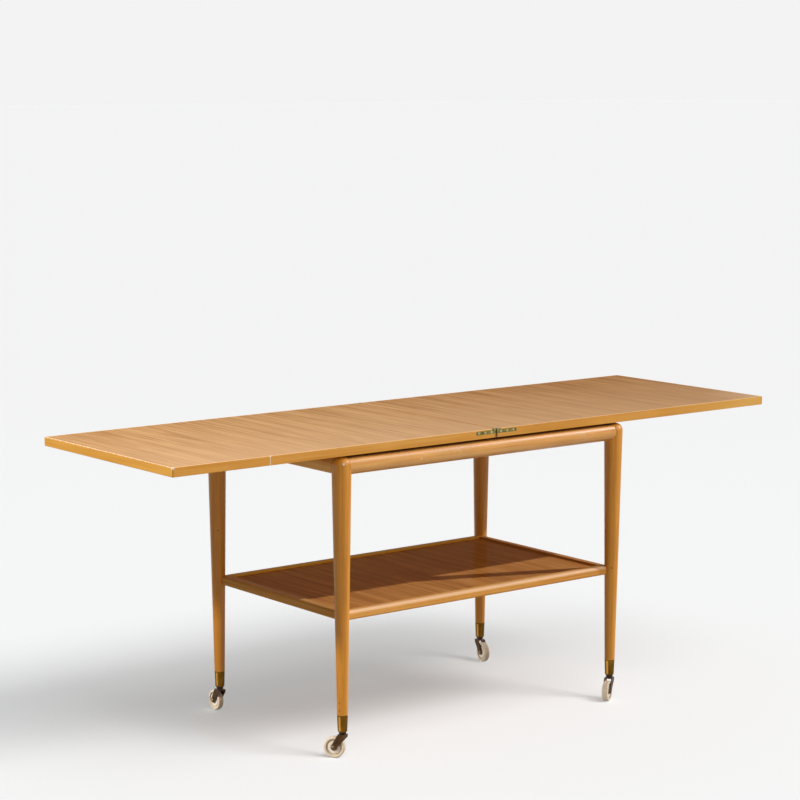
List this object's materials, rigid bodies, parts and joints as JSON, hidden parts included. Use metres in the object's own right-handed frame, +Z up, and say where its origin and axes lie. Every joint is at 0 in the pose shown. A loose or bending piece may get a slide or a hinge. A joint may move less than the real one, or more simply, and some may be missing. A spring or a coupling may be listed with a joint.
{
  "type": "tea_trolley",
  "caption": "Mid-century wooden tea trolley on casters with a fold-over sliding top shown open, round tapered legs with brass ferrules and a lower shelf",
  "frame": {"origin": "on the floor under the fold line of the open top, midway between its long edges; the turned casters move the middle of the overall box a few millimetres from it along Y", "axes": "+X runs along the open top from the fold line to the free end of the folding leaf, +Y to the back long side, +Z up"},
  "size_m": [1.5, 0.4801, 0.6045],
  "materials": {
    "top_veneer": "satin lacquer",
    "lipping_wood": "satin lacquer",
    "frame_wood": "satin lacquer",
    "shelf_veneer": "satin lacquer",
    "slide_wood": "bare, waxed",
    "aged_brass": "aged, dull",
    "hinge_brass": "aged, dull",
    "bronze": "dark, worn",
    "screw_steel": "dull",
    "wheel_plastic": "worn satin"
  },
  "bodies": {
    "frame": {"leg_front_left": "frame_wood", "leg_front_right": "frame_wood", "leg_back_left": "frame_wood", "leg_back_right": "frame_wood", "upper_rail_front": "frame_wood", "upper_rail_back": "frame_wood", "upper_rail_left": "frame_wood", "upper_rail_right": "frame_wood", "shelf_rail_front": "frame_wood", "shelf_rail_back": "frame_wood", "shelf_rail_left": "frame_wood", "shelf_rail_right": "frame_wood", "shelf_panel": "shelf_veneer", "ferrule_front_left": "aged_brass", "ferrule_front_right": "aged_brass", "ferrule_back_left": "aged_brass", "ferrule_back_right": "aged_brass", "slide_guide_front": "slide_wood", "slide_guide_back": "slide_wood"},
    "left_leaf": {"left_leaf_board": "top_veneer", "left_leaf_lipping": "lipping_wood", "hinge_plate_front_left": "hinge_brass", "hinge_plate_back_left": "hinge_brass", "slide_runner_front": "slide_wood", "slide_runner_back": "slide_wood"},
    "hinge_links": {"hinge_link_front": "hinge_brass", "hinge_link_back": "hinge_brass", "hinge_pins_front": "screw_steel", "hinge_pins_back": "screw_steel"},
    "right_leaf": {"right_leaf_board": "top_veneer", "right_leaf_lipping": "lipping_wood", "hinge_plate_front_right": "hinge_brass", "hinge_plate_back_right": "hinge_brass"},
    "caster_front_left": {"caster_stem_front_left": "bronze", "caster_fork_front_left": "bronze", "caster_axle_front_left": "bronze"},
    "wheel_front_left": {"caster_wheel_front_left": "wheel_plastic"},
    "caster_front_right": {"caster_stem_front_right": "bronze", "caster_fork_front_right": "bronze", "caster_axle_front_right": "bronze"},
    "wheel_front_right": {"caster_wheel_front_right": "wheel_plastic"},
    "caster_back_left": {"caster_stem_back_left": "bronze", "caster_fork_back_left": "bronze", "caster_axle_back_left": "bronze"},
    "wheel_back_left": {"caster_wheel_back_left": "wheel_plastic"},
    "caster_back_right": {"caster_stem_back_right": "bronze", "caster_fork_back_right": "bronze", "caster_axle_back_right": "bronze"},
    "wheel_back_right": {"caster_wheel_back_right": "wheel_plastic"}
  },
  "joints": [
    {"name": "top_slide", "type": "slide", "parent": "frame", "child": "left_leaf", "axis": [1, 0, 0], "range_m": [0, 0.3562]},
    {"name": "link_fold", "type": "hinge", "parent": "left_leaf", "child": "hinge_links", "pos_m": [-0.004, 0, 0.6029], "axis": [0, -1, 0], "range_deg": [0, 90]},
    {"name": "leaf_fold", "type": "hinge", "parent": "hinge_links", "child": "right_leaf", "pos_m": [0.004, 0, 0.6029], "axis": [0, -1, 0], "range_deg": [0, 90]},
    {"name": "swivel_front_left", "type": "hinge", "parent": "frame", "child": "caster_front_left", "pos_m": [-0.36665, -0.21, 0.0468], "axis": [0, 0, 1], "continuous": true},
    {"name": "roll_front_left", "type": "hinge", "parent": "caster_front_left", "child": "wheel_front_left", "pos_m": [-0.37616, -0.19738, 0.021], "axis": [-0.7986, -0.6018, 0], "continuous": true},
    {"name": "swivel_front_right", "type": "hinge", "parent": "frame", "child": "caster_front_right", "pos_m": [0.32865, -0.21, 0.0468], "axis": [0, 0, 1], "continuous": true},
    {"name": "roll_front_right", "type": "hinge", "parent": "caster_front_right", "child": "wheel_front_right", "pos_m": [0.31511, -0.21814, 0.021], "axis": [0.515, -0.8572, 0], "continuous": true},
    {"name": "swivel_back_left", "type": "hinge", "parent": "frame", "child": "caster_back_left", "pos_m": [-0.36665, 0.21, 0.0468], "axis": [0, 0, 1], "continuous": true},
    {"name": "roll_back_left", "type": "hinge", "parent": "caster_back_left", "child": "wheel_back_left", "pos_m": [-0.36582, 0.22578, 0.021], "axis": [-0.9986, 0.0523, 0], "continuous": true},
    {"name": "swivel_back_right", "type": "hinge", "parent": "frame", "child": "caster_back_right", "pos_m": [0.32865, 0.21, 0.0468], "axis": [0, 0, 1], "continuous": true},
    {"name": "roll_back_right", "type": "hinge", "parent": "caster_back_right", "child": "wheel_back_right", "pos_m": [0.32537, 0.19454, 0.021], "axis": [0.9781, -0.2079, 0], "continuous": true}
  ]
}
